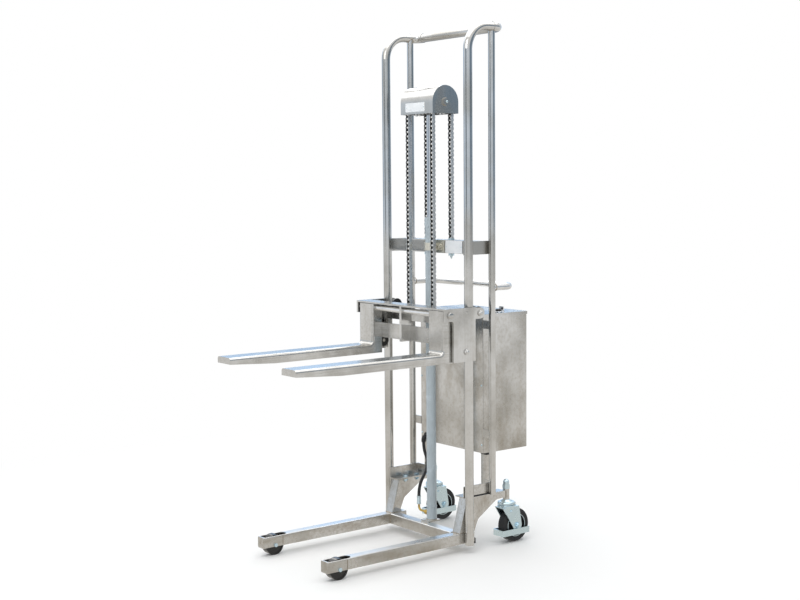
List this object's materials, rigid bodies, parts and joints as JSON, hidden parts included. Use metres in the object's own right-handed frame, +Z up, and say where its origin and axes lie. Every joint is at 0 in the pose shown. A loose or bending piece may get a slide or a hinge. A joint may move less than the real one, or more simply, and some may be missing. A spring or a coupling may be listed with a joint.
{
  "type": "electric stacker",
  "caption": "Stainless electric stacker: straddle legs with load rollers and casters, tubular mast, hydraulic chain lift, carriage with sliding forks and a battery box behind.",
  "frame": {"origin": "on the floor, under the middle of the whole object's box at rest", "axes": "+Z up, forks point to -Y, +X is the left side seen from the push handle"},
  "size_m": [0.536, 1.0782, 1.8975],
  "materials": {
    "stainless": "satin mill stainless",
    "bright_steel": "bright zinc",
    "chain_steel": "oiled steel",
    "cylinder_paint": "satin blue-grey",
    "chromed_rod": "polished",
    "black_nylon": "satin black",
    "black_plastic": "matte black",
    "black_rubber": "matte black",
    "tyre_rubber": "matte black",
    "wheel_plastic": "matte black",
    "brass": "plain brass",
    "grey_paint": "satin grey"
  },
  "bodies": {
    "chassis": {"leg_left": "stainless", "leg_right": "stainless", "base_crossbeam": "stainless", "leg_plugs": "black_plastic", "roller_axles": "bright_steel", "gusset_left": "stainless", "gusset_right": "stainless", "mast_bases": "stainless", "base_bolts": "bright_steel", "caster_stems": "bright_steel", "mast_tube_left": "stainless", "mast_tube_right": "stainless", "rear_tubes": "stainless", "top_handle": "stainless", "mast_crossbar": "stainless", "cylinder_clamp": "stainless", "chain_anchors": "bright_steel", "rear_chains": "chain_steel", "push_handle": "stainless", "box_shell": "stainless", "box_lid": "stainless", "box_posts": "stainless", "box_straps": "stainless", "battery": "black_plastic", "pump_unit": "grey_paint", "hose_elbow": "black_rubber", "hydraulic_hose": "black_rubber", "hose_fitting": "brass", "cylinder_tube": "cylinder_paint", "cylinder_gland": "cylinder_paint"},
    "head": {"piston_rod": "chromed_rod", "head_block": "stainless", "head_axle": "bright_steel", "head_cowl": "stainless", "chain_wraps": "chain_steel", "front_chains": "chain_steel"},
    "sprockets": {"chain_sprockets": "chain_steel"},
    "carriage": {"carriage_plate_left": "stainless", "carriage_plate_right": "stainless", "carriage_top": "stainless", "carriage_lower_bar": "stainless", "fork_rod": "stainless", "chain_bar": "stainless"},
    "upper_rollers": {"upper_guide_rollers": "black_nylon"},
    "lower_rollers": {"lower_guide_rollers": "black_nylon"},
    "left_fork": {"fork_left": "stainless"},
    "right_fork": {"fork_right": "stainless"},
    "left_load_roller": {"load_roller_left": "black_nylon"},
    "right_load_roller": {"load_roller_right": "black_nylon"},
    "left_caster": {"caster_yoke_left": "bright_steel", "caster_guard_left": "bright_steel"},
    "right_caster": {"caster_yoke_right": "bright_steel", "caster_guard_right": "bright_steel"},
    "left_wheel": {"caster_wheel_left": "wheel_plastic", "caster_tyre_left": "tyre_rubber"},
    "right_wheel": {"caster_wheel_right": "wheel_plastic", "caster_tyre_right": "tyre_rubber"},
    "lift_control": {"lift_button": "black_plastic"},
    "lower_control": {"lower_button": "black_plastic"},
    "key_control": {"key_switch": "bright_steel"}
  },
  "joints": [
    {"name": "head_lift", "type": "slide", "parent": "chassis", "child": "head", "axis": [0, 0, 1], "range_m": [-0.31, 0.4], "deforming": ["rear_chains"]},
    {"name": "carriage_lift", "type": "slide", "parent": "head", "child": "carriage", "axis": [0, 0, 1], "range_m": [-0.31, 0.4], "deforming": ["front_chains"]},
    {"name": "sprocket_spin", "type": "hinge", "parent": "head", "child": "sprockets", "pos_m": [0, 0.2214, 1.62], "axis": [1, 0, 0], "continuous": true},
    {"name": "upper_roller_spin", "type": "hinge", "parent": "carriage", "child": "upper_rollers", "pos_m": [0, 0.2362, 0.868], "axis": [1, 0, 0], "continuous": true},
    {"name": "lower_roller_spin", "type": "hinge", "parent": "carriage", "child": "lower_rollers", "pos_m": [0, 0.1716, 0.734], "axis": [1, 0, 0], "continuous": true},
    {"name": "left_fork_slide", "type": "slide", "parent": "carriage", "child": "left_fork", "axis": [1, 0, 0], "range_m": [-0.14, 0]},
    {"name": "right_fork_slide", "type": "slide", "parent": "carriage", "child": "right_fork", "axis": [1, 0, 0], "range_m": [0, 0.14]},
    {"name": "left_load_roller_spin", "type": "hinge", "parent": "chassis", "child": "left_load_roller", "pos_m": [0.2005, -0.3551, 0.037], "axis": [1, 0, 0], "continuous": true},
    {"name": "left_caster_swivel", "type": "hinge", "parent": "chassis", "child": "left_caster", "pos_m": [0.212, 0.4039, 0.162], "axis": [0, 0, 1], "continuous": true},
    {"name": "left_wheel_spin", "type": "hinge", "parent": "left_caster", "child": "left_wheel", "pos_m": [0.212, 0.4389, 0.0625], "axis": [1, 0, 0], "continuous": true},
    {"name": "right_load_roller_spin", "type": "hinge", "parent": "chassis", "child": "right_load_roller", "pos_m": [-0.2005, -0.3551, 0.037], "axis": [1, 0, 0], "continuous": true},
    {"name": "right_caster_swivel", "type": "hinge", "parent": "chassis", "child": "right_caster", "pos_m": [-0.212, 0.4039, 0.162], "axis": [0, 0, 1], "continuous": true},
    {"name": "right_wheel_spin", "type": "hinge", "parent": "right_caster", "child": "right_wheel", "pos_m": [-0.212, 0.4389, 0.0625], "axis": [1, 0, 0], "continuous": true},
    {"name": "lift_button_press", "type": "slide", "parent": "chassis", "child": "lift_control", "axis": [0, 0, -1], "range_m": [0, 0.003], "stiffness_N_per_m": 500, "springref_m": -0.002},
    {"name": "lower_button_press", "type": "slide", "parent": "chassis", "child": "lower_control", "axis": [0, 0, -1], "range_m": [0, 0.003], "stiffness_N_per_m": 500, "springref_m": -0.002},
    {"name": "key_turn", "type": "hinge", "parent": "chassis", "child": "key_control", "pos_m": [0.142, 0.4459, 0.851], "axis": [0, 0, -1], "range_deg": [0, 90]}
  ],
  "couplings": [
    {"joint": "carriage_lift", "follows": "head_lift", "ratio": 1},
    {"joint": "sprocket_spin", "follows": "head_lift", "rad_per_m": -23.149},
    {"joint": "upper_roller_spin", "follows": "head_lift", "rad_per_m": 125},
    {"joint": "lower_roller_spin", "follows": "head_lift", "rad_per_m": -125}
  ]
}
